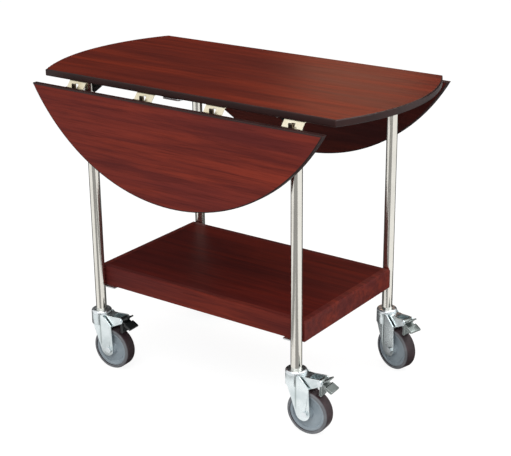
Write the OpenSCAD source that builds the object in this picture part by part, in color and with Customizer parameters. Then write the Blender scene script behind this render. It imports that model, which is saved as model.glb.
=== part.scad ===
// Room service table: a round drop-leaf trolley on four braked swivel casters.
// Millimetres. X runs along the hinge lines, +Z up, origin on the floor under the middle.
// The model stands at rest with both leaves hanging.

/* [Table top] */
// Height of the top face above the floor
table_h = 740; // [700:5:780]
// Diameter of the top with both leaves raised
top_d = 920; // [860:5:1000]
// Width of the fixed centre panel across the hinge lines
panel_w = 454; // [444:2:480]
// Thickness of the top boards, laminate included
board_t = 16; // [15:0.5:20]
// Thickness of the edging round each top board
edging_t = 3; // [2:0.5:4]
// Rounding of the edging's outer corners
edging_r = 2.5; // [1:0.5:3]
// Gap between the panel and a raised leaf
seam_gap = 1; // [0.8:0.1:2]

/* [Leaf hinges] */
// How far the hinge axis stands outside the panel's long edge
hinge_out = 12; // [10:0.5:14]
// How far the hinge axis hangs below the underside of the boards
hinge_drop = 18; // [17.5:0.5:22]
// Length of one hinge along its pin
hinge_len = 50; // [44:1:70]
// Length of the middle knuckle and its lug, which turn with the leaf
mid_knuckle = 10; // [8:1:20]
// Thickness of the hinge plates
plate_t = 2; // [1.5:0.25:2.5]
// Depth of the hinge plates under the leaves
plate_depth = 28; // [24:1:32]
// Outside diameter of the knuckles
knuckle_d = 10; // [9:0.5:12]
// Diameter of the hinge pins
hinge_pin_d = 5; // [4:0.5:6]
// Distance of the inner pair of hinges from the middle
hinge_x_inner = 97; // [90:1:120]
// Distance of the outer pair of hinges from the middle
hinge_x_outer = 300; // [270:1:310]

/* [Leaf support bars] */
// Width of a support bar
bar_w = 50; // [40:1:80]
// Distance of each bar's centre line from the middle of the table
bar_aside = 26; // [0:1:40]
// Thickness of a support bar
bar_t = 4; // [3:0.25:4.5]
// Length of a support bar
bar_len = 220; // [200:1:221]
// Diameter of the finger hole near the tip of a bar
finger_d = 20; // [16:1:22]
// Rounding of the bar's outer corners
bar_corner_r = 8; // [4:1:12]
// How far a bar slides out under the raised leaf
bar_travel = 115; // [80:1:120]
// Gap between a bar and the underside of the boards
bar_gap = 0.6; // [0.4:0.1:0.8]
// Diameter of the shoulder screw that stops a bar
stop_d = 6; // [5:0.5:8]
// Thickness of the guide straps that carry the bars
strap_t = 2; // [1.5:0.25:3]
// Width of the guide straps
strap_w = 16; // [12:1:18]

/* [Legs] */
// Outside diameter of the leg tubes
leg_d = 26; // [24:0.5:30]
// Wall of the leg tubes
leg_wall = 1.5; // [1.2:0.1:2]
// Height of the lower end of the tubes above the floor
leg_foot_h = 148; // [146:1:156]
// Distance between the leg axes along the table
leg_span_x = 578; // [540:2:600]
// Distance of the leg axes inside the panel's long edges
leg_inset = 27; // [26:1:34]
// Thickness of the socket plates under the panel
socket_t = 4; // [3:0.5:6]
// Reach of the socket plates from the leg axis along the table
socket_reach = 52; // [46:1:60]
// Reach of the socket plates from the leg axis towards the centre line
socket_depth = 30; // [26:1:36]
// Height of the sockets' spigots and gussets
socket_h = 22; // [18:1:30]
// Thickness of the sockets' gussets
gusset_t = 6; // [4:0.5:8]

/* [Shelf] */
// Height of the shelf's top face above the floor
shelf_h = 257; // [240:1:300]
// Height of the fascia boards
fascia_h = 48; // [40:1:60]
// Thickness of the fascia boards
fascia_t = 16; // [14:0.5:20]
// Rounding of the fascia's top outer edge
fascia_r = 5; // [2:0.5:6]
// Thickness of the shelf board
shelf_t = 16; // [12:0.5:20]
// Length of the support tabs, from the leg axis towards the middle
tab_len = 40; // [32:1:46]
// Depth of the support tabs across the fascia
tab_depth = 22; // [20:1:24]
// Thickness of the support tabs
tab_t = 3; // [2:0.5:4]

/* [Casters] */
// Wheel diameter over the tread
wheel_d = 104; // [98:1:105]
// Width of the tyre
wheel_w = 32; // [28:1:34]
// Thickness of the tyre's rubber
tyre_t = 8; // [6.5:0.5:11]
// Offset of the axle behind the swivel axis
trail = 36; // [34:1:46]
// Diameter of the swivel head
head_d = 50; // [46:1:54]
// Thickness of the fork's sheet metal
fork_t = 3; // [2.5:0.25:3.5]
// Gap between the tyre and each fork plate
wheel_side_gap = 3; // [2:0.5:4]
// Height of the crown's underside above the floor
crown_h = 112; // [110:0.5:113]
// Diameter of the kingpin
kingpin_d = 12; // [10:0.5:14]
// Diameter of the axle bolt
axle_d = 8; // [6:0.5:10]
// Width of the brake pedal's hub
pedal_w = 24; // [20:1:26]
// How far the pedal's pivot stands behind the axle
pivot_back = 32; // [30:1:36]
// Height of the pedal's pivot above the tyre
pivot_rise = 30; // [28:1:34]
// Length of the arm that presses the tyre
brake_arm = 31; // [29:0.5:31]
// Diameter of the pedal's pivot pin
pedal_pin_d = 6; // [5:0.5:7]
// Swivel of the front left caster at rest
swivel_front_left = 3; // [-30:1:30]
// Swivel of the front right caster at rest
swivel_front_right = 3; // [-30:1:30]
// Swivel of the rear left caster at rest
swivel_rear_left = -9; // [-30:1:30]
// Swivel of the rear right caster at rest
swivel_rear_right = -15; // [-30:1:30]

/* [Hidden] */
$fn = 72;

// Fits
pin_play = 0.06;
bolt_play = 0.05;
slide_play = 0.4;
knuckle_play = 0.3;
swivel_play = 0.3;
tube_play = 0.1;

// Colours
wood_c = [0.38, 0.15, 0.12];
edging_c = [0.20, 0.10, 0.09];
chrome_c = [0.80, 0.81, 0.82];
zinc_c = [0.70, 0.74, 0.75];
brass_c = [0.86, 0.78, 0.58];
hub_c = [0.46, 0.51, 0.55];
tyre_c = [0.17, 0.12, 0.12];
pedal_c = [0.32, 0.35, 0.34];

// Table top
top_r = top_d / 2;
half_w = panel_w / 2;
under_z = table_h - board_t;
leaf_y = half_w + seam_gap;

// Hinges: axis in the Y-Z plane of the rear side
axis_y = half_w + hinge_out;
axis_z = under_z - hinge_drop;
corner_gap = 0.5;
hinge_xs = [-hinge_x_outer, -hinge_x_inner, hinge_x_inner, hinge_x_outer];
bend_in = 3;
bend_y = half_w - bend_in;
panel_plate_y = half_w - leg_inset + leg_d / 2 + corner_gap;
panel_plate_mid = (panel_plate_y + bend_y) / 2;
tab_x0 = mid_knuckle / 2 + knuckle_play;
tab_root = 6;
lug_reach = 15;
lug_t = 5;
hinge_screw_in = 10;
hinge_screw_x = hinge_len / 2 - hinge_screw_in;
pin_head_t = 1.5;

// Wood screws
screw_d = 3;
screw_bite = 9;
screw_head_d = 6;
screw_head_t = 2;
screw_hole_d = 3.4;
pilot_spare = 0.2;
screw_edge = 7;
eps = 1;

// Support bars
bar_tip_in = 1;
bar_tip_y = half_w - bar_tip_in;
bar_end_y = bar_tip_y - bar_len;
finger_margin = 7;
finger_y = bar_tip_y - finger_margin - finger_d / 2;
strap_spare = 4;
strap_outer_y = finger_y - finger_d / 2 - strap_spare - strap_w / 2;
strap_inner_y = bar_end_y + bar_travel + strap_spare + strap_w / 2;
stop_y = (strap_outer_y + strap_inner_y) / 2;
stop_lip = 2.5;
stop_thread_d = stop_d - 2;
bar_depth = bar_gap + bar_t + slide_play;
strap_half = bar_w / 2 + slide_play + strap_t;
foot_len = 14;

// Legs and sockets
leg_r = leg_d / 2;
leg_x = leg_span_x / 2;
leg_y = half_w - leg_inset;
leg_top_z = under_z - socket_t;
spigot_r = leg_r - leg_wall - tube_play;
socket_side = 5.5;
gusset_back = 6;
gusset_foot = 5;
socket_screws = [
    [socket_reach - screw_edge, socket_depth - screw_edge],
    [socket_reach - screw_edge, socket_side - leg_r],
    [0, socket_depth - screw_edge],
];

// Shelf: the legs stand against its long faces, flush with its ends
shelf_x = leg_x + leg_r;
shelf_y = leg_y - leg_r;
fascia_z = shelf_h - fascia_h;
tab_screw_y = leg_r + fascia_t / 2;
tab_out = 8;
tab_screw_xs = [leg_r + screw_edge, tab_len - screw_edge];

// Casters: u runs back along the trail, v along the axle
wheel_r = wheel_d / 2;
fork_in = wheel_w / 2 + wheel_side_gap;
fork_out = fork_in + fork_t;
crown_r = head_d / 2;
crown_top = crown_h + fork_t;
cap_t = 8;
cap_round = 5;
cup_top = leg_foot_h - cap_t - swivel_play;
rivet_lip = 4;
stem_h = 40;
axle_boss_r = 18;
axle_boss_lead = 7;
crown_overhang = 8;
crown_back = trail + crown_overhang;
shoulder_back = 8;
shoulder_tuck = 1;
pivot = [trail + pivot_back, wheel_d + pivot_rise];
cheek_in = pedal_w / 2 + 2 * swivel_play;
cheek_out = cheek_in + fork_t;
cheek_r = 8;
cheek_u = sqrt(pow(crown_r - fork_t / 2, 2) - pow(cheek_out, 2));
bridge_in = 4;
cheek_root_in = 2;
bridge_u = crown_back - bridge_in;
cheek_low = [crown_back - cheek_root_in, crown_h];
hex_d = 1.9 * axle_d;
axle_head = 5.5;
axle_nut = 6.5;
axle_end = 1.5;
boss_wall = 8;
boss_r = axle_d / 2 + boss_wall;
boss_gap = 1;
boss_slope = 3;
web_half = 9;
rim_t = 6;
rim_slope = 3;
rim_in_side = 2;
rim_half = wheel_w / 2 - rim_in_side;
shoulder_r = 5;
flat_u = sqrt(crown_r * crown_r - fork_out * fork_out);
tyre_in = wheel_r - tyre_t;
pedal_hub_d = 13;
pedal_t = 3;
pedal_arm_t = 6;
nose_d = 8;
pad_t = 6;
pad_side = 4;
pad_reach = 29;
pad_fall = 16;
pad_len = 15;
release_reach = 19;
release_rise = 9;
pad_way = [pad_reach, -pad_fall];
pad = pivot + pad_way;
pad_root = pad - pad_way * pad_len / norm(pad_way);
release = pivot + [release_reach, release_rise];
swivels = [swivel_front_left, swivel_front_right, swivel_rear_left, swivel_rear_right];
corners = [[-1, -1], [1, -1], [-1, 1], [1, 1]];

// Where a line from a point touches a circle, on its left (1) or right (-1) side
function touch(from, to, r, side) =
    let (d = to - from, far = norm(d), a = atan2(d[1], d[0]) + side * asin(r / far))
    from + sqrt(far * far - r * r) * [cos(a), sin(a)];

// ---------- Helpers ----------

// Extrudes a Y-Z outline along X
module along_x(x0, x1) {
    translate([x0, 0, 0]) rotate([90, 0, 90]) linear_extrude(x1 - x0) children();
}

// Extrudes a u-z outline along v
module along_v(v0, v1) {
    translate([0, v1, 0]) rotate([90, 0, 0]) linear_extrude(v1 - v0) children();
}

// Flat strip from one point to another
module strip(from, to, t) {
    d = to - from;
    translate(from) rotate(atan2(d[1], d[0])) translate([0, -t / 2]) square([norm(d), t]);
}

// Rear side as drawn, front side turned half round
module on_side(side) {
    rotate([0, 0, side > 0 ? 0 : 180]) children();
}

// Turns what is drawn with the rear leaf raised down to its hanging place
module hung() {
    translate([0, axis_y, axis_z]) rotate([-90, 0, 0]) translate([0, -axis_y, -axis_z]) children();
}

// Pan-head wood screw, its head under z = 0, through a plate of thickness grip
module wood_screw(grip) {
    translate([0, 0, -screw_head_t]) cylinder(d = screw_head_d, h = screw_head_t);
    cylinder(d = screw_d, h = grip + screw_bite);
}

// Pilot hole for a wood screw, upwards from z = 0
module pilot() {
    translate([0, 0, -eps])
        cylinder(d = screw_d + 2 * bolt_play, h = screw_bite + eps + pilot_spare);
}

// Clearance hole through a plate below z = 0
module screw_hole(t) {
    translate([0, 0, -t - eps]) cylinder(d = screw_hole_d, h = t + 2 * eps);
}

module at_leg(i) {
    translate([corners[i][0] * leg_x, corners[i][1] * leg_y, 0]) children();
}

// Leg frame with +X towards the middle of the table and +Y towards its centre line
module at_leg_inward(i) {
    at_leg(i) scale([-corners[i][0], -corners[i][1], 1]) children();
}

module at_caster(i) {
    at_leg(i) rotate([0, 0, swivels[i]]) children();
}

// Bar straps: both sides, inner and outer
module at_straps() {
    for (side = [-1, 1], y = [strap_inner_y, strap_outer_y])
        translate([side * bar_aside, side * y, under_z]) children();
}

module at_strap_screws() {
    at_straps() for (s = [-1, 1]) translate([s * (strap_half + foot_len / 2), 0, 0]) children();
}

// Screws of the plates on the panel, one side
module at_panel_plate_screws() {
    for (x = hinge_xs, s = [-1, 1])
        translate([x + s * hinge_screw_x, panel_plate_mid, under_z]) children();
}

// Screws of the plates on the leaf, one side, leaf raised
module at_leaf_plate_screws() {
    for (x = hinge_xs, s = [-1, 1])
        translate([x + s * hinge_screw_x, axis_y + plate_depth / 2, under_z]) children();
}

module at_socket_screws() {
    for (i = [0:3], p = socket_screws)
        at_leg_inward(i) translate([p[0], p[1], under_z]) children();
}

// ---------- Table top ----------

// Disc with rounded rims, as thick as the boards
module rounded_disc() {
    translate([0, 0, under_z]) rotate_extrude() {
        square([top_r - edging_r, board_t]);
        translate([0, edging_r]) square([top_r, board_t - 2 * edging_r]);
        translate([top_r - edging_r, edging_r]) circle(edging_r);
        translate([top_r - edging_r, board_t - edging_r]) circle(edging_r);
    }
}

// Bar along X between two Y limits, its long rims rounded
module rounded_band(y0, y1) {
    r = edging_r;
    along_x(-top_r - 1, top_r + 1) translate([y0, under_z]) {
        translate([r, 0]) square([y1 - y0 - 2 * r, board_t]);
        translate([0, r]) square([y1 - y0, board_t - 2 * r]);
        for (y = [r, y1 - y0 - r], z = [r, board_t - r]) translate([y, z]) circle(r);
    }
}

// What lies inside the edging, between two Y limits
module board_blank(y0, y1, grow) {
    intersection() {
        translate([0, 0, under_z - grow]) cylinder(r = top_r - edging_t, h = board_t + 2 * grow);
        translate([-top_r, y0 + edging_t, under_z - grow])
            cube([top_d, y1 - y0 - 2 * edging_t, board_t + 2 * grow]);
    }
}

module edging(y0, y1) {
    difference() {
        intersection() {
            rounded_disc();
            rounded_band(y0, y1);
        }
        board_blank(y0, y1, 1);
    }
}

module centre_panel() {
    color(wood_c) difference() {
        board_blank(-half_w, half_w, 0);
        for (side = [-1, 1]) on_side(side) at_panel_plate_screws() pilot();
        at_socket_screws() pilot();
        at_strap_screws() pilot();
        for (side = [-1, 1]) translate([side * bar_aside, side * stop_y, under_z - eps])
            cylinder(d = stop_thread_d + 2 * bolt_play, h = screw_bite + eps + pilot_spare);
    }
}

module centre_panel_edging() {
    color(edging_c) edging(-half_w, half_w);
}

module leaf(side) {
    color(wood_c) on_side(side) hung() difference() {
        board_blank(leaf_y, top_r + edging_t + 1, 0);
        at_leaf_plate_screws() pilot();
    }
}

module leaf_edging(side) {
    color(edging_c) on_side(side) hung() edging(leaf_y, top_r + edging_t + 1);
}

// ---------- Hinges ----------

module pin_bore() {
    translate([0, axis_y, axis_z]) rotate([0, 90, 0])
        cylinder(d = hinge_pin_d + 2 * pin_play, h = hinge_len + 2 * eps, center = true);
}

// Plate on the panel, cranked and then notched: two tabs carry the outer knuckles
module panel_plate() {
    bend = [bend_y, under_z - plate_t / 2];
    axis = [axis_y, axis_z];
    way = (axis - bend) / norm(axis - bend);
    difference() {
        union() {
            translate([-hinge_len / 2, panel_plate_y, under_z - plate_t])
                cube([hinge_len, bend_y - panel_plate_y, plate_t]);
            along_x(-hinge_len / 2, hinge_len / 2) {
                translate(bend) circle(d = plate_t);
                strip(bend, axis, plate_t);
                translate(axis) circle(d = knuckle_d);
            }
        }
        along_x(-tab_x0, tab_x0) strip(bend + tab_root * way, axis + knuckle_d * way, knuckle_d + 2 * eps);
        pin_bore();
        for (s = [-1, 1]) translate([s * hinge_screw_x, panel_plate_mid, under_z])
            screw_hole(plate_t);
    }
}

// Plate on the leaf, drawn raised: one web carries the middle knuckle, whose lug fills the notch
// between the tabs when the leaf hangs
module leaf_plate() {
    difference() {
        union() {
            translate([-hinge_len / 2, axis_y - plate_t / 2, under_z - plate_t])
                cube([hinge_len, plate_depth + plate_t / 2, plate_t]);
            along_x(-mid_knuckle / 2, mid_knuckle / 2) {
                translate([axis_y - plate_t / 2, axis_z]) square([plate_t, hinge_drop]);
                translate([axis_y, axis_z]) circle(d = knuckle_d);
                strip([axis_y, axis_z], [axis_y - lug_reach + lug_t / 2, axis_z], lug_t);
                translate([axis_y - lug_reach + lug_t / 2, axis_z]) circle(d = lug_t);
            }
        }
        pin_bore();
        for (s = [-1, 1]) translate([s * hinge_screw_x, axis_y + plate_depth / 2, under_z])
            screw_hole(plate_t);
    }
}

module hinge_pin() {
    translate([0, axis_y, axis_z]) rotate([0, 90, 0]) {
        cylinder(d = hinge_pin_d, h = hinge_len, center = true);
        for (s = [0, 1]) mirror([0, 0, s]) translate([0, 0, hinge_len / 2])
            cylinder(d = knuckle_d - 2, h = pin_head_t);
    }
}

module panel_plates(side) {
    color(brass_c) on_side(side) for (x = hinge_xs) translate([x, 0, 0]) panel_plate();
}

module leaf_plates(side) {
    color(brass_c) on_side(side) hung() for (x = hinge_xs) translate([x, 0, 0]) leaf_plate();
}

module hinge_pins(side) {
    color(brass_c) on_side(side) for (x = hinge_xs) translate([x, 0, 0]) hinge_pin();
}

module leaf_screws(side) {
    color(brass_c) on_side(side) hung() at_leaf_plate_screws()
        translate([0, 0, -plate_t]) wood_screw(plate_t);
}

module panel_screws() {
    color(zinc_c) {
        for (side = [-1, 1]) on_side(side) at_panel_plate_screws()
            translate([0, 0, -plate_t]) wood_screw(plate_t);
        at_socket_screws() translate([0, 0, -socket_t]) wood_screw(socket_t);
        at_strap_screws() translate([0, 0, -strap_t]) wood_screw(strap_t);
    }
}

// ---------- Leaf support bars ----------

module bar_guides() {
    color(zinc_c) at_straps() difference() {
        union() {
            translate([-strap_half, -strap_w / 2, -bar_depth - strap_t])
                cube([2 * strap_half, strap_w, bar_depth + strap_t]);
            translate([-strap_half - foot_len, -strap_w / 2, -strap_t])
                cube([2 * (strap_half + foot_len), strap_w, strap_t]);
        }
        translate([strap_t - strap_half, -strap_w, -bar_depth])
            cube([2 * (strap_half - strap_t), 2 * strap_w, bar_depth + 1]);
        for (s = [-1, 1]) translate([s * (strap_half + foot_len / 2), 0, 0]) screw_hole(strap_t);
    }
}

// Shoulder screw that runs in the bar's slot
module bar_stop_screws() {
    color(zinc_c) for (side = [-1, 1]) translate([side * bar_aside, side * stop_y, under_z]) {
        translate([0, 0, -bar_depth - stop_lip]) cylinder(d = stop_d + 2 * stop_lip, h = stop_lip);
        translate([0, 0, -bar_depth]) cylinder(d = stop_d, h = bar_depth);
        cylinder(d = stop_thread_d, h = screw_bite);
    }
}

module support_bar(side) {
    slot_r = stop_d / 2 + slide_play;
    r = bar_corner_r;
    color(chrome_c) on_side(side) translate([bar_aside, 0, under_z - bar_gap - bar_t])
        linear_extrude(bar_t) difference() {
            union() {
                translate([-bar_w / 2, bar_end_y]) square([bar_w, bar_len - r]);
                translate([r - bar_w / 2, bar_end_y]) square([bar_w - 2 * r, bar_len]);
                for (x = [r - bar_w / 2, bar_w / 2 - r]) translate([x, bar_tip_y - r]) circle(r);
            }
            translate([-slot_r, stop_y - bar_travel]) square([2 * slot_r, bar_travel]);
            for (y = [stop_y - bar_travel, stop_y]) translate([0, y]) circle(slot_r);
            translate([0, finger_y]) circle(d = finger_d);
        }
}

// ---------- Legs ----------

module leg(i) {
    color(chrome_c) at_leg(i) difference() {
        translate([0, 0, leg_foot_h]) cylinder(r = leg_r, h = leg_top_z - leg_foot_h);
        translate([0, 0, leg_foot_h - eps])
            cylinder(r = leg_r - leg_wall, h = leg_top_z - leg_foot_h + 2 * eps);
    }
}

// Cast socket: a plate, a spigot up the tube and a gusset along the table
module leg_socket() {
    low = leg_top_z - socket_h;
    translate([0, 0, low]) cylinder(r = spigot_r, h = socket_h + socket_t);
    difference() {
        union() {
            translate([-leg_r, -leg_r, leg_top_z])
                cube([leg_r + socket_reach, leg_r + socket_depth, socket_t]);
            along_v(-gusset_t / 2, gusset_t / 2) polygon([
                [leg_r, leg_top_z], [socket_reach - gusset_back, leg_top_z],
                [leg_r + gusset_foot, low], [leg_r, low],
            ]);
        }
        translate([0, 0, low - eps]) cylinder(r = leg_r + tube_play, h = socket_h + eps);
        for (p = socket_screws) translate([p[0], p[1], under_z]) screw_hole(socket_t);
    }
}

module leg_sockets() {
    color(pedal_c) for (i = [0:3]) at_leg_inward(i) leg_socket();
}

// ---------- Shelf ----------

module shelf_board() {
    x = shelf_x - fascia_t;
    y = shelf_y - fascia_t;
    color(wood_c) translate([-x, -y, shelf_h - shelf_t]) cube([2 * x, 2 * y, shelf_t]);
}

// Fascia section: thickness inwards from 0, the top outer edge rounded
module fascia_section() {
    translate([-fascia_t, 0]) square([fascia_t, fascia_h - fascia_r]);
    translate([-fascia_t, 0]) square([fascia_t - fascia_r, fascia_h]);
    translate([-fascia_r, fascia_h - fascia_r]) circle(fascia_r);
}

// Fascia on the +Y side of a rectangle, mitred at both ends
module fascia(half_len, out) {
    intersection() {
        translate([0, out, fascia_z]) along_x(-half_len, half_len) fascia_section();
        translate([0, 0, fascia_z]) linear_extrude(fascia_h) polygon([
            [-half_len, out], [half_len, out],
            [half_len - fascia_t, out - fascia_t], [fascia_t - half_len, out - fascia_t],
        ]);
    }
}

module long_fascia(side) {
    color(wood_c) on_side(side) difference() {
        fascia(shelf_x, shelf_y);
        for (s = [-1, 1], x = tab_screw_xs)
            translate([s * (leg_x - x), leg_y - tab_screw_y, fascia_z]) pilot();
    }
}

module end_fascia(side) {
    color(wood_c) rotate([0, 0, side * -90]) fascia(shelf_y, shelf_x);
}

module at_tab_screws(i) {
    at_leg_inward(i) for (x = tab_screw_xs)
        translate([x, tab_screw_y, fascia_z]) children();
}

// Steel tabs welded to the legs, under the ends of the long fascias
module shelf_tabs() {
    color(zinc_c) for (i = [0:3]) at_leg_inward(i) difference() {
        translate([0, leg_r - tab_out, fascia_z - tab_t]) cube([tab_len, tab_depth, tab_t]);
        translate([0, 0, fascia_z - tab_t - eps]) cylinder(r = leg_r, h = tab_t + 2 * eps);
        for (x = tab_screw_xs) translate([x, tab_screw_y, fascia_z]) screw_hole(tab_t);
    }
}

module shelf_screws() {
    color(zinc_c) for (i = [0:3]) at_tab_screws(i) translate([0, 0, -tab_t]) wood_screw(tab_t);
}

// ---------- Casters ----------

// Cap, stem in the leg tube and riveted kingpin
module swivel_head(i) {
    cap_z = leg_foot_h - cap_t;
    rivet_z = crown_h - swivel_play - rivet_lip;
    rivet_d = kingpin_d + 2 * rivet_lip;
    color(zinc_c) at_caster(i) {
        translate([0, 0, cap_z]) rotate_extrude() {
            square([crown_r, cap_t - cap_round]);
            square([crown_r - cap_round, cap_t]);
            translate([crown_r - cap_round, cap_t - cap_round]) intersection() {
                circle(cap_round);
                square(cap_round);
            }
        }
        translate([0, 0, cap_z]) cylinder(r = spigot_r, h = cap_t + stem_h);
        translate([0, 0, crown_top + swivel_play])
            cylinder(d = rivet_d, h = cap_z - crown_top - swivel_play);
        translate([0, 0, rivet_z]) cylinder(d = kingpin_d, h = cap_z - rivet_z);
        translate([0, 0, rivet_z]) cylinder(d = rivet_d, h = rivet_lip);
    }
}

// Side plate: shoulders up the crown's wall and a round foot, a little ahead of the axle
module fork_side() {
    foot = [trail - axle_boss_lead, wheel_r];
    front = [shoulder_tuck - flat_u, crown_h];
    back = [crown_back, crown_h];
    polygon([
        [front[0], cup_top], front, touch(front, foot, axle_boss_r, -1), foot,
        touch(back, foot, axle_boss_r, 1), back, [crown_back, crown_top],
        [flat_u + shoulder_back, cup_top],
    ]);
    translate(foot) circle(axle_boss_r);
}

// Cheek of the brake bracket, round about the pedal's pivot
module brake_cheek() {
    high = [bridge_u, cup_top];
    polygon([
        [cheek_u, crown_h], cheek_low, touch(cheek_low, pivot, cheek_r, -1), pivot,
        touch(high, pivot, cheek_r, 1), high, [cheek_u, cup_top],
    ]);
    translate(pivot) circle(cheek_r);
}

module v_cylinder(at, d, half) {
    translate([at[0], 0, at[1]]) rotate([90, 0, 0]) cylinder(d = d, h = 2 * half, center = true);
}

module fork(i) {
    color(zinc_c) at_caster(i) difference() {
        union() {
            translate([0, 0, crown_h]) linear_extrude(fork_t) {
                circle(crown_r);
                translate([0, -fork_out]) square([crown_back, 2 * fork_out]);
            }
            translate([0, 0, crown_h]) cylinder(r = crown_r, h = cup_top - crown_h);
            for (s = [0, 1]) mirror([0, s, 0]) {
                along_v(fork_in, fork_out) fork_side();
                along_v(cheek_in, cheek_out) brake_cheek();
            }
            translate([cheek_u, -cheek_out, cup_top - fork_t])
                cube([bridge_u - cheek_u, 2 * cheek_out, fork_t]);
        }
        translate([0, 0, crown_top])
            cylinder(r = crown_r - fork_t, h = cup_top - crown_top + eps);
        translate([0, 0, crown_h - eps])
            cylinder(d = kingpin_d + 2 * pin_play, h = fork_t + 2 * eps);
        v_cylinder([trail, wheel_r], axle_d + 2 * bolt_play, fork_out + eps);
        v_cylinder(pivot, pedal_pin_d + 2 * bolt_play, cheek_out + eps);
    }
}

// Axle bolt with its nut
module axle(i) {
    color(zinc_c) at_caster(i) translate([trail, 0, wheel_r]) rotate([90, 0, 0]) {
        tail = fork_out + axle_nut + axle_end;
        translate([0, 0, -tail]) cylinder(d = axle_d, h = tail + fork_out);
        translate([0, 0, fork_out]) cylinder(d = hex_d, h = axle_head, $fn = 6);
        translate([0, 0, -fork_out - axle_nut]) difference() {
            cylinder(d = hex_d, h = axle_nut, $fn = 6);
            translate([0, 0, -eps]) cylinder(d = axle_d + 2 * bolt_play, h = axle_nut + 2 * eps);
        }
    }
}

module wheel_hub(i) {
    bore_r = axle_d / 2 + pin_play;
    boss_half = fork_in - boss_gap;
    rim_in = tyre_in - rim_t;
    color(hub_c) at_caster(i) translate([trail, 0, wheel_r]) rotate([90, 0, 0])
        rotate_extrude() polygon([
            [bore_r, -boss_half], [boss_r, -boss_half], [boss_r + boss_slope, -web_half],
            [rim_in - rim_slope, -web_half], [rim_in, -rim_half], [tyre_in, -rim_half],
            [tyre_in, rim_half], [rim_in, rim_half], [rim_in - rim_slope, web_half],
            [boss_r + boss_slope, web_half], [boss_r, boss_half], [bore_r, boss_half],
        ]);
}

module tyre(i) {
    color(tyre_c) at_caster(i) translate([trail, 0, wheel_r]) rotate([90, 0, 0])
        rotate_extrude() intersection() {
            translate([tyre_in, -wheel_w / 2]) square([tyre_t, wheel_w]);
            union() {
                translate([0, -wheel_w / 2]) square([wheel_r - shoulder_r, wheel_w]);
                translate([0, shoulder_r - wheel_w / 2])
                    square([wheel_r, wheel_w - 2 * shoulder_r]);
                for (s = [-1, 1])
                    translate([wheel_r - shoulder_r, s * (wheel_w / 2 - shoulder_r)])
                        circle(shoulder_r);
            }
        }
}

// Rocking pedal: a foot pad, a release tab and an arm that presses the tyre
module brake_pedal(i) {
    half = pedal_w / 2;
    arm_half = half - pedal_arm_t / 3;
    nose = pivot - [0, brake_arm];
    color(pedal_c) at_caster(i) difference() {
        union() {
            v_cylinder(pivot, pedal_hub_d, half);
            along_v(-half, half) {
                strip(pivot, pad, pedal_t);
                strip(pivot, release, pedal_t);
                translate(release) circle(d = pedal_t + 1);
            }
            along_v(-arm_half, arm_half) {
                strip(pivot, nose, pedal_arm_t);
                translate(nose) circle(d = nose_d);
            }
            along_v(-half - pad_side, half + pad_side) {
                strip(pad_root, pad, pad_t);
                for (end = [pad_root, pad]) translate(end) circle(d = pad_t);
            }
        }
        v_cylinder(pivot, pedal_pin_d + 2 * pin_play, half + eps);
    }
}

module pedal_pin(i) {
    head_t = 2;
    color(zinc_c) at_caster(i) {
        v_cylinder(pivot, pedal_pin_d, cheek_out);
        for (s = [0, 1]) mirror([0, s, 0]) translate([pivot[0], -cheek_out, pivot[1]])
            rotate([90, 0, 0]) cylinder(d = pedal_pin_d + 2 * head_t, h = head_t);
    }
}

// ---------- Nodes ----------

centre_panel();
centre_panel_edging();
leg(0);  // leg_front_left
leg(1);  // leg_front_right
leg(2);  // leg_rear_left
leg(3);  // leg_rear_right
leg_sockets();
panel_screws();
shelf_board();
long_fascia(-1);  // shelf_front_fascia
long_fascia(1);  // shelf_rear_fascia
end_fascia(-1);  // shelf_left_fascia
end_fascia(1);  // shelf_right_fascia
shelf_tabs();
shelf_screws();
panel_plates(-1);  // front_hinge_panel_plates
panel_plates(1);  // rear_hinge_panel_plates
hinge_pins(-1);  // front_hinge_pins
hinge_pins(1);  // rear_hinge_pins
bar_guides();
bar_stop_screws();
support_bar(-1);  // front_support_bar
support_bar(1);  // rear_support_bar
leaf(-1);  // front_leaf
leaf_edging(-1);  // front_leaf_edging
leaf_plates(-1);  // front_hinge_leaf_plates
leaf_screws(-1);  // front_leaf_screws
leaf(1);  // rear_leaf
leaf_edging(1);  // rear_leaf_edging
leaf_plates(1);  // rear_hinge_leaf_plates
leaf_screws(1);  // rear_leaf_screws
swivel_head(0);  // swivel_head_front_left
fork(0);  // fork_front_left
axle(0);  // axle_front_left
wheel_hub(0);  // wheel_hub_front_left
tyre(0);  // tyre_front_left
brake_pedal(0);  // brake_pedal_front_left
pedal_pin(0);  // pedal_pin_front_left
swivel_head(1);  // swivel_head_front_right
fork(1);  // fork_front_right
axle(1);  // axle_front_right
wheel_hub(1);  // wheel_hub_front_right
tyre(1);  // tyre_front_right
brake_pedal(1);  // brake_pedal_front_right
pedal_pin(1);  // pedal_pin_front_right
swivel_head(2);  // swivel_head_rear_left
fork(2);  // fork_rear_left
axle(2);  // axle_rear_left
wheel_hub(2);  // wheel_hub_rear_left
tyre(2);  // tyre_rear_left
brake_pedal(2);  // brake_pedal_rear_left
pedal_pin(2);  // pedal_pin_rear_left
swivel_head(3);  // swivel_head_rear_right
fork(3);  // fork_rear_right
axle(3);  // axle_rear_right
wheel_hub(3);  // wheel_hub_rear_right
tyre(3);  // tyre_rear_right
brake_pedal(3);  // brake_pedal_rear_right
pedal_pin(3);  // pedal_pin_rear_right
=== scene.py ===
import math
import bpy
from mathutils import Matrix, Vector

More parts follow.
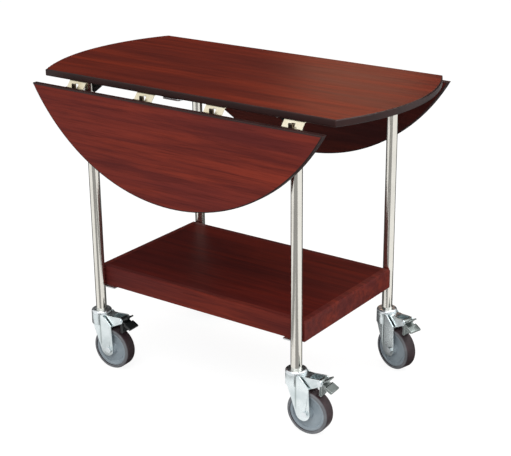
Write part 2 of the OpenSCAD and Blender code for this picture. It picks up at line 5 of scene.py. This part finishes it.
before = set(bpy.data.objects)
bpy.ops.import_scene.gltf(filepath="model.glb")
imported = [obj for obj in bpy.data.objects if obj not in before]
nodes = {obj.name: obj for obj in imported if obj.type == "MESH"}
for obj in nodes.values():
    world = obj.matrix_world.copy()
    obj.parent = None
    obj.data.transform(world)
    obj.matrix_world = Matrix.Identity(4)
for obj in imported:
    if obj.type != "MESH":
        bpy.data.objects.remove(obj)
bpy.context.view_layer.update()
scene = bpy.context.scene

# ---------- the table's own names and places, as in part.scad but in metres ----------

CORNERS = ("front_left", "front_right", "rear_left", "rear_right")
CORNER_SIGNS = ((-1, -1), (1, -1), (-1, 1), (1, 1))
SIDES = ("front", "rear")
LEG_X = 0.289
LEG_Y = 0.200
SWIVELS = (3, 3, -9, -15)   # rest angle of each caster about its stem, in degrees

# ---------- camera: found from outline points of the photograph ----------

PHOTO_W = 511
FOCAL_PX = 1272.1
SENSOR_MM = 36.0
CAM_DISTANCE = 3.0607
CAM_AZIMUTH = 35.75
CAM_ELEVATION = 20.43
CAM_ROLL = -0.56
CAM_ASIDE = 0.0301
CAM_AIM_Z = 0.3570
CAM_CLIP_END = 60


def outward(azimuth, elevation):
    """The direction from the table to a camera or lamp. Azimuth 0 is the front, in radians."""
    level = math.cos(elevation)
    return Vector((math.sin(azimuth) * level, -math.cos(azimuth) * level, math.sin(elevation)))


def make_camera():
    az, el, roll = (math.radians(a) for a in (CAM_AZIMUTH, CAM_ELEVATION, CAM_ROLL))
    back = outward(az, el)
    level = Vector((math.cos(az), math.sin(az), 0))
    upright = back.cross(level)
    right = level * math.cos(roll) + upright * math.sin(roll)
    up = upright * math.cos(roll) - level * math.sin(roll)
    data = bpy.data.cameras.new("camera")
    data.sensor_width = SENSOR_MM
    data.lens = FOCAL_PX * SENSOR_MM / PHOTO_W
    data.clip_end = CAM_CLIP_END
    camera = bpy.data.objects.new("camera", data)
    scene.collection.objects.link(camera)
    place = back * CAM_DISTANCE + right * CAM_ASIDE + Vector((0, 0, CAM_AIM_Z))
    turn = Matrix((right, up, back)).transposed().to_4x4()
    camera.matrix_world = Matrix.Translation(place) @ turn
    scene.camera = camera


# ---------- node materials ----------

MIX_FACTOR, MIX_A, MIX_B, MIX_RESULT = 0, 6, 7, 2   # the colour sockets of ShaderNodeMix
EDGE_SAMPLES = 4
EDGE_BEND = (0.02, 0.25)    # how far the rounded normal leaves the flat one at an edge


def bare_material(name):
    """A node material that holds only its output node."""
    material = bpy.data.materials.new(name)
    material.use_nodes = True
    tree = material.node_tree
    tree.nodes.clear()
    return material, tree, tree.nodes.new("ShaderNodeOutputMaterial")


class Shader:
    """Lays out one node material round a Principled shader."""

    def __init__(self, name, metallic=0.0, specular=0.5):
        self.material, tree, out = bare_material(name)
        self.nodes, self.links = tree.nodes, tree.links
        self.bsdf = self.nodes.new("ShaderNodeBsdfPrincipled")
        self.links.new(self.bsdf.outputs[0], out.inputs[0])
        self.bsdf.inputs["Metallic"].default_value = metallic
        self.bsdf.inputs["Specular IOR Level"].default_value = specular
        self.place = self.nodes.new("ShaderNodeTexCoord").outputs["Object"]

    def feed(self, socket, value):
        if isinstance(value, bpy.types.NodeSocket):
            self.links.new(value, socket)
        else:
            socket.default_value = value

    def noise(self, grains, octaves, rough, distortion=0.0, turn=(0, 0, 0), shift=(0, 0, 0)):
        """Noise with so many grains a metre along x, y and z, from 0 to 1."""
        place = self.nodes.new("ShaderNodeMapping")
        self.links.new(self.place, place.inputs["Vector"])
        place.inputs["Scale"].default_value = grains
        place.inputs["Rotation"].default_value = turn
        place.inputs["Location"].default_value = shift
        node = self.nodes.new("ShaderNodeTexNoise")
        self.links.new(place.outputs[0], node.inputs["Vector"])
        node.inputs["Scale"].default_value = 1.0
        node.inputs["Detail"].default_value = octaves
        node.inputs["Roughness"].default_value = rough
        node.inputs["Distortion"].default_value = distortion
        return node.outputs["Fac"]

    def span(self, value, low, high, to_low=0.0, to_high=1.0):
        """Maps low to high onto to_low to to_high, and holds its ends beyond them."""
        node = self.nodes.new("ShaderNodeMapRange")
        self.feed(node.inputs["Value"], value)
        node.inputs["From Min"].default_value = low
        node.inputs["From Max"].default_value = high
        node.inputs["To Min"].default_value = to_low
        node.inputs["To Max"].default_value = to_high
        return node.outputs[0]

    def math(self, operation, a, b=0.0):
        node = self.nodes.new("ShaderNodeMath")
        node.operation = operation
        self.feed(node.inputs[0], a)
        self.feed(node.inputs[1], b)
        return node.outputs[0]

    def weigh(self, a, share_a, b, share_b):
        """a times its share plus b times its share."""
        a, b = self.math("MULTIPLY", a, share_a), self.math("MULTIPLY", b, share_b)
        return self.math("ADD", a, b)

    def mix(self, factor, a, b):
        """Colour a where the factor is 0, colour b where it is 1."""
        node = self.nodes.new("ShaderNodeMix")
        node.data_type = "RGBA"
        self.feed(node.inputs[MIX_FACTOR], factor)
        self.feed(node.inputs[MIX_A], a)
        self.feed(node.inputs[MIX_B], b)
        return node.outputs[MIX_RESULT]

    def dot(self, vector, other):
        node = self.nodes.new("ShaderNodeVectorMath")
        node.operation = "DOT_PRODUCT"
        self.feed(node.inputs[0], vector)
        self.feed(node.inputs[1], other)
        return node.outputs["Value"]

    def upward(self, vector):
        """The z of a vector."""
        split = self.nodes.new("ShaderNodeSeparateXYZ")
        self.links.new(vector, split.inputs[0])
        return split.outputs["Z"]

    def own_normal(self):
        """The normal in the object's own frame, so that it rides with the piece."""
        return self.nodes.new("ShaderNodeTexCoord").outputs["Normal"]

    def wear_and_highlight(self, radius, most):
        """most on the object's sharp outer and inner edges, 0 on its flats. It lightens edges as
        wear on plastics and metals, and as a painted highlight on the edging.
        """
        bevel = self.nodes.new("ShaderNodeBevel")
        bevel.samples = EDGE_SAMPLES
        bevel.inputs["Radius"].default_value = radius
        flat = self.nodes.new("ShaderNodeNewGeometry").outputs["Normal"]
        bend = self.math("SUBTRACT", 1.0, self.dot(bevel.outputs[0], flat))
        return self.span(bend, *EDGE_BEND, 0.0, most)

    def bump(self, height, strength, distance):
        node = self.nodes.new("ShaderNodeBump")
        node.inputs["Strength"].default_value = strength
        node.inputs["Distance"].default_value = distance
        self.feed(node.inputs["Height"], height)
        self.links.new(node.outputs[0], self.bsdf.inputs["Normal"])

    def done(self, colour, roughness):
        self.feed(self.bsdf.inputs["Base Color"], colour)
        self.feed(self.bsdf.inputs["Roughness"], roughness)
        return self.material


def rgb(red, green, blue):
    """A colour as the photograph's 0 to 255 values, made linear."""
    def line(v):
        v = v / 255
        return v / 12.92 if v <= 0.04045 else ((v + 0.055) / 1.055) ** 2.4
    return (line(red), line(green), line(blue), 1.0)


# Noises: grains a metre along x, y and z, octaves, strength of the finer ones, distortion.
# A pair that ends in AT holds the noise values between which a colour or gloss changes.
# A pair that ends in COLOURS or ROUGH holds what it changes from and to.

CLOUD_AT = (0.35, 0.7)
GLOSS_AT = (0.3, 0.7)
METAL_CLOUD_AT = (0.35, 0.72)
METAL_GLOSS_AT = (0.32, 0.68)
RUB_AND_HIGHLIGHT_EDGE = 0.0012
BRIGHT_EDGE = 0.0008

WOOD_BROAD = ((1.6, 14, 14), 4.0, 0.55, 0.35)
WOOD_STREAKS = ((3.2, 70, 70), 5.0, 0.62, 0.5)
WOOD_PORES = ((14, 620, 620), 2.0, 0.6)
WOOD_SHIFT = (1.0, 0.37, 0.61)
BROAD_AT = (0.38, 0.62)
STREAKS_AT, STREAKS_MOST = (0.40, 0.66), 0.85
PORES_AT, PORES_MOST = (0.52, 0.75), 0.5
UNDER_SHADE_AT = (0.3, 0.7)
STAIN_DARK = (90, 35, 32)
STAIN_RED = (116, 44, 32)
STAIN_VEIN = (76, 28, 26)
STAIN_PORE = (56, 18, 15)
# the dark grey under the shelf is painted shade
UNDER_SHADE_COLOURS = (rgb(36, 34, 31), rgb(26, 25, 23))
UNDER_SHADE_FACES = (-0.9, -0.6)    # normals' z: all painted shade below the first, none above the second
WOOD_ROUGH = (0.36, 0.50)
WOOD_SHEEN = 0.06
WOOD_FLAT_SHEEN = 0.035         # for boards that lie flat and mirror the bright studio


def wood(name, turn=0.0, shift=0.0, tone=1.0, tint=(1, 1, 1), specular=WOOD_SHEEN, painted_shade_below=False):
    """Mahogany laminate: long soft streaks, fine pores and a satin skin.

    turn and shift give each board a grain of its own, tone and tint its shade.
    With painted_shade_below, the board's underside is painted dark grey as shade.
    """
    def stain(colour):
        return rgb(*[c * tone * k for c, k in zip(colour, tint)])

    s = Shader(name, specular=specular)
    lay = {"turn": (0, 0, turn), "shift": [shift * k for k in WOOD_SHIFT]}
    broad = s.noise(*WOOD_BROAD, **lay)
    streaks = s.noise(*WOOD_STREAKS, **lay)
    pores = s.noise(*WOOD_PORES, **lay)
    colour = s.mix(s.span(broad, *BROAD_AT), stain(STAIN_DARK), stain(STAIN_RED))
    colour = s.mix(s.span(streaks, *STREAKS_AT, 0.0, STREAKS_MOST), colour, stain(STAIN_VEIN))
    colour = s.mix(s.span(pores, *PORES_AT, 0.0, PORES_MOST), colour, stain(STAIN_PORE))
    # painted shade: the board's underside goes dark grey
    if painted_shade_below:
        under_shade = s.mix(s.span(pores, *UNDER_SHADE_AT), *UNDER_SHADE_COLOURS)
        colour = s.mix(s.span(s.upward(s.own_normal()), *UNDER_SHADE_FACES), under_shade, colour)
    s.bump(s.weigh(streaks, 0.35, pores, 0.65), strength=0.10, distance=0.0004)
    return s.done(colour, s.span(s.weigh(broad, 0.6, pores, 0.4), *GLOSS_AT, *WOOD_ROUGH))


EDGING_CLOUD = ((18, 18, 18), 4.0, 0.6)
EDGING_FINE = ((420, 420, 420), 2.0, 0.6)
EDGING_COLOURS = (rgb(34, 16, 15), rgb(44, 20, 18))
# the lighter colour on the edging's rounds is a painted highlight
EDGING_HIGHLIGHT, EDGING_HIGHLIGHT_COLOUR = 0.55, rgb(88, 48, 42)
EDGING_ROUGH = (0.30, 0.44)


def edging():
    """Dark moulded edging, with a painted highlight on its rounds."""
    s = Shader("dark_edging", specular=0.22)
    cloud = s.noise(*EDGING_CLOUD)
    fine = s.noise(*EDGING_FINE)
    colour = s.mix(s.span(cloud, *CLOUD_AT), *EDGING_COLOURS)
    # painted highlight: the rounds go lighter
    colour = s.mix(s.wear_and_highlight(RUB_AND_HIGHLIGHT_EDGE, EDGING_HIGHLIGHT), colour, EDGING_HIGHLIGHT_COLOUR)
    s.bump(fine, strength=0.08, distance=0.0002)
    return s.done(colour, s.span(cloud, *GLOSS_AT, *EDGING_ROUGH))


METAL_CLOUD = ((22, 22, 22), 5.0, 0.6)
METAL_SPECKS = ((300, 300, 300), 2.0, 0.5)
LINE_OCTAVES, LINE_ROUGH = 3.0, 0.6
BRIGHTER = 1.25     # the edges of a metal with no bright colour of its own


def metal(name, base, dull, rough, grain, wear_and_highlight=0.3, edge=BRIGHT_EDGE, bright=None):
    """Plated or plain metal: faint marks along its grain, clouded gloss and brighter edges.

    base, dull and bright are linear reds, greens and blues.
    """
    s = Shader(name, metallic=1.0)
    cloud = s.noise(*METAL_CLOUD)
    lines = s.noise(grain, LINE_OCTAVES, LINE_ROUGH)
    specks = s.noise(*METAL_SPECKS)
    bright = bright or [min(1.0, c * BRIGHTER) for c in base]
    colour = s.mix(s.span(cloud, *METAL_CLOUD_AT), (*base, 1), (*dull, 1))
    colour = s.mix(s.wear_and_highlight(edge, wear_and_highlight), colour, (*bright, 1))
    s.bump(s.weigh(lines, 0.7, specks, 0.3), strength=0.05, distance=0.0003)
    return s.done(colour, s.span(s.weigh(cloud, 0.55, lines, 0.45), *METAL_GLOSS_AT, *rough))


PLASTIC_CLOUD = ((26, 26, 26), 4.0, 0.6)
PLASTIC_GRIT = ((500, 500, 500), 3.0, 0.6)
PLASTIC_WEAR = 0.4


def plastic(name, base, dark, rubbed, rough):
    """Moulded plastic or paint: fine grit, cloudy gloss and rubbed edges."""
    s = Shader(name, specular=0.4)
    cloud = s.noise(*PLASTIC_CLOUD)
    grit = s.noise(*PLASTIC_GRIT)
    colour = s.mix(s.span(cloud, *CLOUD_AT), base, dark)
    colour = s.mix(s.wear_and_highlight(RUB_AND_HIGHLIGHT_EDGE, PLASTIC_WEAR), colour, rubbed)
    s.bump(grit, strength=0.15, distance=0.0004)
    return s.done(colour, s.span(cloud, *GLOSS_AT, *rough))


TYRE_CLOUD = ((40, 40, 40), 4.0, 0.6)
TYRE_GRIT = ((320, 320, 320), 3.0, 0.6)
TREAD_COLOURS = (rgb(56, 37, 41), rgb(36, 24, 28))
WALL_COLOURS = (rgb(116, 118, 122), rgb(96, 98, 102))
WALL_FACES = (0.35, 0.85)       # the normal's part along the axle: tread first, then wall
TYRE_ROUGH = (0.48, 0.66)


def tyre(name, swivel):
    """Grey-brown rubber, its tread darker than its side walls."""
    s = Shader(name, specular=0.45)
    cloud = s.noise(*TYRE_CLOUD)
    grit = s.noise(*TYRE_GRIT)
    turn = math.radians(swivel)
    along_axle = s.dot(s.own_normal(), (-math.sin(turn), math.cos(turn), 0))
    side = s.span(s.math("ABSOLUTE", along_axle), *WALL_FACES)
    tread = s.mix(s.span(cloud, *CLOUD_AT), *TREAD_COLOURS)
    wall = s.mix(s.span(cloud, *CLOUD_AT), *WALL_COLOURS)
    s.bump(grit, strength=0.3, distance=0.0004)
    return s.done(s.mix(side, tread, wall), s.span(cloud, *GLOSS_AT, *TYRE_ROUGH))


FORK_CLOUD = ((26, 26, 26), 5.0, 0.6)
FORK_LINES = ((90, 90, 700), 3.0, 0.6)
FORK_COLOURS = ((0.78, 0.84, 0.85, 1), (0.60, 0.67, 0.68, 1))
FORK_WEAR, FORK_BRIGHT = 0.4, (0.97, 0.99, 1.0, 1)
FORK_ROUGH = (0.22, 0.38)
# the crease's dark colour is painted shade, where the fold turns away from the light
CREASE_SHADE, CREASE_SHADE_COLOUR = 0.65, (0.26, 0.31, 0.30, 1)
CREASE_U = 0.011                # how far the crease lies from the stem, towards the axle
CREASE_Z = (0.056, 0.068)       # it fades in between these heights
CREASE_HALF = (0.0006, 0.0030)  # its bottom's half width, and its whole half width


def fork_plate(name, x, y, swivel):
    """Bright zinc fork with a pressed crease down each side plate, short of the axle. The
    crease's dark colour is painted shade.
    """
    s = Shader(name, metallic=1.0)
    cloud = s.noise(*FORK_CLOUD)
    lines = s.noise(*FORK_LINES)
    turn = math.radians(swivel)
    stem = x * math.cos(turn) + y * math.sin(turn)
    along = s.dot(s.place, (math.cos(turn), math.sin(turn), 0))
    u = s.math("SUBTRACT", along, stem)
    off = s.math("ABSOLUTE", s.math("SUBTRACT", u, CREASE_U))
    reach = s.span(s.upward(s.place), *CREASE_Z)
    groove = s.math("MULTIPLY", s.span(off, *CREASE_HALF, 1.0, 0.0), reach)
    colour = s.mix(s.span(cloud, *METAL_CLOUD_AT), *FORK_COLOURS)
    colour = s.mix(s.wear_and_highlight(BRIGHT_EDGE, FORK_WEAR), colour, FORK_BRIGHT)
    # painted shade along the crease
    colour = s.mix(s.math("MULTIPLY", groove, CREASE_SHADE), colour, CREASE_SHADE_COLOUR)
    s.bump(s.math("SUBTRACT", s.math("MULTIPLY", lines, 0.25), groove), 0.35, 0.0012)
    return s.done(colour, s.span(cloud, *METAL_GLOSS_AT, *FORK_ROUGH))


# ---------- small rounds on the CAD nodes ----------

WELD_DISTANCE = 1e-6
ROUND_SEGMENTS = 2
SHARP_ANGLE = 35
CASTER_ROUNDS = (("fork_", 0.0007), ("brake_pedal_", 0.0008), ("wheel_hub_", 0.0007))
PLATE_ROUND = 0.0005
HINGE_ROUND = 0.0003
PLATES = ("leg_sockets", "shelf_tabs", "bar_guides", "front_support_bar", "rear_support_bar")
HINGES = [side + kind for side in SIDES for kind in ("_hinge_panel_plates", "_hinge_leaf_plates")]


def soften(name, width):
    """Joins the faces of a CAD node along its seams and rounds its sharp edges."""
    weld = nodes[name].modifiers.new("weld", "WELD")
    weld.merge_threshold = WELD_DISTANCE
    bevel = nodes[name].modifiers.new("bevel", "BEVEL")
    bevel.width = width
    bevel.segments = ROUND_SEGMENTS
    bevel.limit_method = "ANGLE"
    bevel.angle_limit = math.radians(SHARP_ANGLE)


for corner in CORNERS:
    for kind, width in CASTER_ROUNDS:
        soften(kind + corner, width)
for name in PLATES:
    soften(name, PLATE_ROUND)
for name in HINGES:
    soften(name, HINGE_ROUND)

# ---------- materials on the CAD nodes ----------


def dress(material, *names):
    for name in names:
        slots = nodes[name].data.materials
        if len(slots) == 0:
            slots.append(material)
        for i in range(len(slots)):
            slots[i] = material


def each(ends, starts):
    """The node names that join every start to every end."""
    return [start + end for end in ends for start in starts]


dress(wood("mahogany_panel", tone=0.89, tint=(1, 0.90, 0.72), specular=WOOD_FLAT_SHEEN),
      "centre_panel")
dress(wood("mahogany_front_leaf", shift=1.7, tone=1.06), "front_leaf")
# the rear leaf's low tone is painted shade: its inner face hangs in the table's shadow
dress(wood("mahogany_rear_leaf", shift=3.1, tone=0.74), "rear_leaf")
dress(wood("mahogany_shelf", shift=4.9, tone=0.87, tint=(1, 0.82, 0.78),
           specular=WOOD_FLAT_SHEEN, painted_shade_below=True),
      "shelf_board")
dress(wood("mahogany_fascia", shift=5.6), "shelf_front_fascia", "shelf_rear_fascia")
dress(wood("mahogany_shelf_ends", turn=math.pi / 2, shift=6.3),
      "shelf_left_fascia", "shelf_right_fascia")
dress(edging(), "centre_panel_edging", "front_leaf_edging", "rear_leaf_edging")

dress(metal("chrome_tube", (0.74, 0.72, 0.66), (0.68, 0.66, 0.605),
            rough=(0.10, 0.19), grain=(500, 500, 12)),
      *each(CORNERS, ["leg_"]))
dress(metal("zinc_plate", (0.80, 0.84, 0.86), (0.66, 0.71, 0.73),
            rough=(0.24, 0.40), grain=(90, 90, 700), wear_and_highlight=0.4),
      *each(CORNERS, ["swivel_head_", "axle_", "pedal_pin_"]))
dress(metal("strap_steel", (0.62, 0.64, 0.65), (0.50, 0.52, 0.53),
            rough=(0.26, 0.42), grain=(700, 60, 60)),
      "bar_guides", "shelf_tabs", "front_support_bar", "rear_support_bar")
dress(metal("screw_steel", (0.66, 0.67, 0.67), (0.5, 0.5, 0.5),
            rough=(0.2, 0.34), grain=(400, 400, 400)),
      "panel_screws", "shelf_screws", "bar_stop_screws")
dress(metal("pale_brass", (0.84, 0.79, 0.63), (0.62, 0.53, 0.35),
            rough=(0.24, 0.38), grain=(60, 600, 60), wear_and_highlight=0.5),
      *each(["_hinge_panel_plates", "_hinge_pins", "_leaf_screws"], SIDES))
# the leaf plates are the hinges' brass coloured dark: painted shade on the part that sits back
# under the panel
dress(metal("brass_in_painted_shade", (0.10, 0.08, 0.06), (0.05, 0.04, 0.03),
            rough=(0.34, 0.50), grain=(60, 600, 60)),
      *each(["_hinge_leaf_plates"], SIDES))
dress(metal("pedal_steel", (0.24, 0.27, 0.26), (0.14, 0.16, 0.155),
            rough=(0.26, 0.42), grain=(120, 120, 500), wear_and_highlight=0.9,
            edge=0.0016, bright=(0.86, 0.90, 0.88)),
      *each(CORNERS[1:], ["brake_pedal_"]))

dress(plastic("pedal_black", rgb(30, 32, 32), rgb(20, 22, 22), rgb(120, 122, 122),
              rough=(0.26, 0.42)),
      "brake_pedal_front_left")
dress(plastic("socket_black", rgb(34, 34, 36), rgb(24, 24, 26), rgb(80, 80, 82),
              rough=(0.42, 0.58)),
      "leg_sockets")
dress(plastic("grey_hub", rgb(150, 161, 168), rgb(132, 144, 152), rgb(185, 192, 200),
              rough=(0.38, 0.52)),
      *each(CORNERS, ["wheel_hub_"]))
for corner, swivel, (sign_x, sign_y) in zip(CORNERS, SWIVELS, CORNER_SIGNS):
    fork = "fork_" + corner
    dress(fork_plate("fork_zinc_" + corner, sign_x * LEG_X, sign_y * LEG_Y, swivel), fork)
    dress(tyre("tyre_" + corner + "_rubber", swivel), "tyre_" + corner)

# ---------- studio ----------

WHITE = (1, 1, 1)
FLOOR_HALF = 30
FLOOR_GLOW = 0.90       # what the camera and the reflections see, less the shadows
FLOOR_SHADE = 0.18
FLOOR_BOUNCE = 0.75     # what the light on the object sees
WORLD_LIGHT = 0.64
WORLD_SEEN = 1.0
LAMP_AIM_Z = 0.4
# name, azimuth, elevation, distance, size, watts, colour
LAMPS = (
    ("key", 20, 52, 3.2, 2.4, 62, WHITE),
    ("side", 110, 35, 3.4, 2.0, 22, WHITE),
    ("near_right", 128, 50, 1.7, 0.9, 7, WHITE),
    ("sheen", 195, 36.5, 1.2, 0.4, 1.25, (1.0, 0.52, 0.32)),
)
# The wedges on the floor start near a leg and run this far. Each lies a little over the last.
CARD_FAR = 3.0
CARD_STEPS = 8
CARD_LIFT = 0.0005
FRONT_NEAR, FRONT_LEVEL, FRONT_Z = 0.12, 0.38, 0.001
BACK_NEAR, BACK_LEVEL, BACK_Z, BACK_OPEN = 0.31, 0.12, 0.003, 62
# leg, then how far its front card turns aside from the camera and opens, in degrees
CARD_LEGS = (
    (-LEG_X, -LEG_Y, 17, 21),
    (LEG_X, -LEG_Y, 9, 14),
    (LEG_X, LEG_Y, 9, 14),
)
WALL_DISTANCE, WALL_W, WALL_LOW, WALL_HIGH, WALL_LEVEL = 3.2, 9.0, 0.05, 4.0, 0.06


def stage_face(name, points):
    """A flat face that belongs to the studio."""
    mesh = bpy.data.meshes.new(name)
    mesh.from_pydata(points, [], [tuple(range(len(points)))])
    piece = bpy.data.objects.new(name, mesh)
    scene.collection.objects.link(piece)
    return piece


def seen(tree):
    """1 for rays that see the background: from the camera, a reflection or through glass."""
    path = tree.nodes.new("ShaderNodeLightPath")
    total = path.outputs["Is Camera Ray"]
    for name in ("Is Glossy Ray", "Is Transmission Ray"):
        node = tree.nodes.new("ShaderNodeMath")
        node.operation = "MAXIMUM"
        tree.links.new(total, node.inputs[0])
        tree.links.new(path.outputs[name], node.inputs[1])
        total = node.outputs[0]
    return total


def show_by_ray(tree, out, unseen, shown):
    """Sends one shader to the rays that see the background and another to the rest."""
    mix = tree.nodes.new("ShaderNodeMixShader")
    tree.links.new(seen(tree), mix.inputs[0])
    tree.links.new(unseen.outputs[0], mix.inputs[1])
    tree.links.new(shown.outputs[0], mix.inputs[2])
    tree.links.new(mix.outputs[0], out.inputs[0])


def coloured(tree, kind, level, strength=None):
    node = tree.nodes.new(kind)
    node.inputs["Color"].default_value = (level, level, level, 1)
    if strength is not None:
        node.inputs["Strength"].default_value = strength
    return node


def make_floor():
    h = FLOOR_HALF
    floor = stage_face("floor", [(-h, -h, 0), (h, -h, 0), (h, h, 0), (-h, h, 0)])
    material, tree, out = bare_material("floor")
    shade = coloured(tree, "ShaderNodeBsdfDiffuse", FLOOR_SHADE)
    glow = coloured(tree, "ShaderNodeEmission", 1, FLOOR_GLOW)
    both = tree.nodes.new("ShaderNodeAddShader")
    tree.links.new(shade.outputs[0], both.inputs[0])
    tree.links.new(glow.outputs[0], both.inputs[1])
    show_by_ray(tree, out, coloured(tree, "ShaderNodeBsdfDiffuse", FLOOR_BOUNCE), both)
    floor.data.materials.append(material)


def make_world():
    world = bpy.data.worlds.new("studio")
    scene.world = world
    world.use_nodes = True
    tree = world.node_tree
    tree.nodes.clear()
    out = tree.nodes.new("ShaderNodeOutputWorld")
    show_by_ray(tree, out, coloured(tree, "ShaderNodeBackground", 1, WORLD_LIGHT),
                coloured(tree, "ShaderNodeBackground", 1, WORLD_SEEN))


def lamp(name, azimuth, elevation, distance, size, watts, colour):
    """A square soft light that looks at the table."""
    data = bpy.data.lights.new(name, "AREA")
    data.color = colour
    data.shape = "SQUARE"
    data.size = size
    data.energy = watts
    lamp_object = bpy.data.objects.new(name, data)
    out = outward(math.radians(azimuth), math.radians(elevation))
    lamp_object.location = out * distance + Vector((0, 0, LAMP_AIM_Z))
    lamp_object.rotation_euler = out.to_track_quat("Z", "Y").to_euler()
    scene.collection.objects.link(lamp_object)


def card(name, points, level):
    """A grey card that only reflections see: it draws the dark lines in the chrome."""
    piece = stage_face(name, points)
    piece.visible_camera = False
    piece.visible_diffuse = False
    piece.visible_shadow = False
    material, tree, out = bare_material(name)
    grey = coloured(tree, "ShaderNodeEmission", level)
    tree.links.new(grey.outputs[0], out.inputs[0])
    piece.data.materials.append(material)


def floor_card(name, leg, azimuth, half, near, level, height):
    """A wedge on the floor that opens by half to both sides, as seen from a leg."""
    def arc(azimuths, distance):
        return [(leg[0] + math.sin(math.radians(a)) * distance,
                 leg[1] - math.cos(math.radians(a)) * distance, height) for a in azimuths]

    turns = [azimuth - half + 2 * half * i / CARD_STEPS for i in range(CARD_STEPS + 1)]
    card(name, arc(turns, near) + arc(reversed(turns), CARD_FAR), level)


def wall_card(name, azimuth):
    """An upright card behind the set."""
    az = math.radians(azimuth)
    mid = (math.sin(az) * WALL_DISTANCE, -math.cos(az) * WALL_DISTANCE)
    half = (math.cos(az) * WALL_W / 2, math.sin(az) * WALL_W / 2)
    left, right = ((mid[0] + s * half[0], mid[1] + s * half[1]) for s in (-1, 1))
    card(name, [(*left, WALL_LOW), (*right, WALL_LOW), (*right, WALL_HIGH), (*left, WALL_HIGH)],
         WALL_LEVEL)


make_camera()
make_floor()
make_world()
for row in LAMPS:
    lamp(*row)
for i, (x, y, aside, half) in enumerate(CARD_LEGS):
    floor_card("front_card_%d" % i, (x, y), CAM_AZIMUTH - aside, half,
               FRONT_NEAR, FRONT_LEVEL, FRONT_Z + CARD_LIFT * i)
    floor_card("back_card_%d" % i, (x, y), CAM_AZIMUTH + 180, BACK_OPEN,
               BACK_NEAR, BACK_LEVEL, BACK_Z + CARD_LIFT * i)
wall_card("back_wall", CAM_AZIMUTH + 180)

scene.view_settings.view_transform = "Standard"
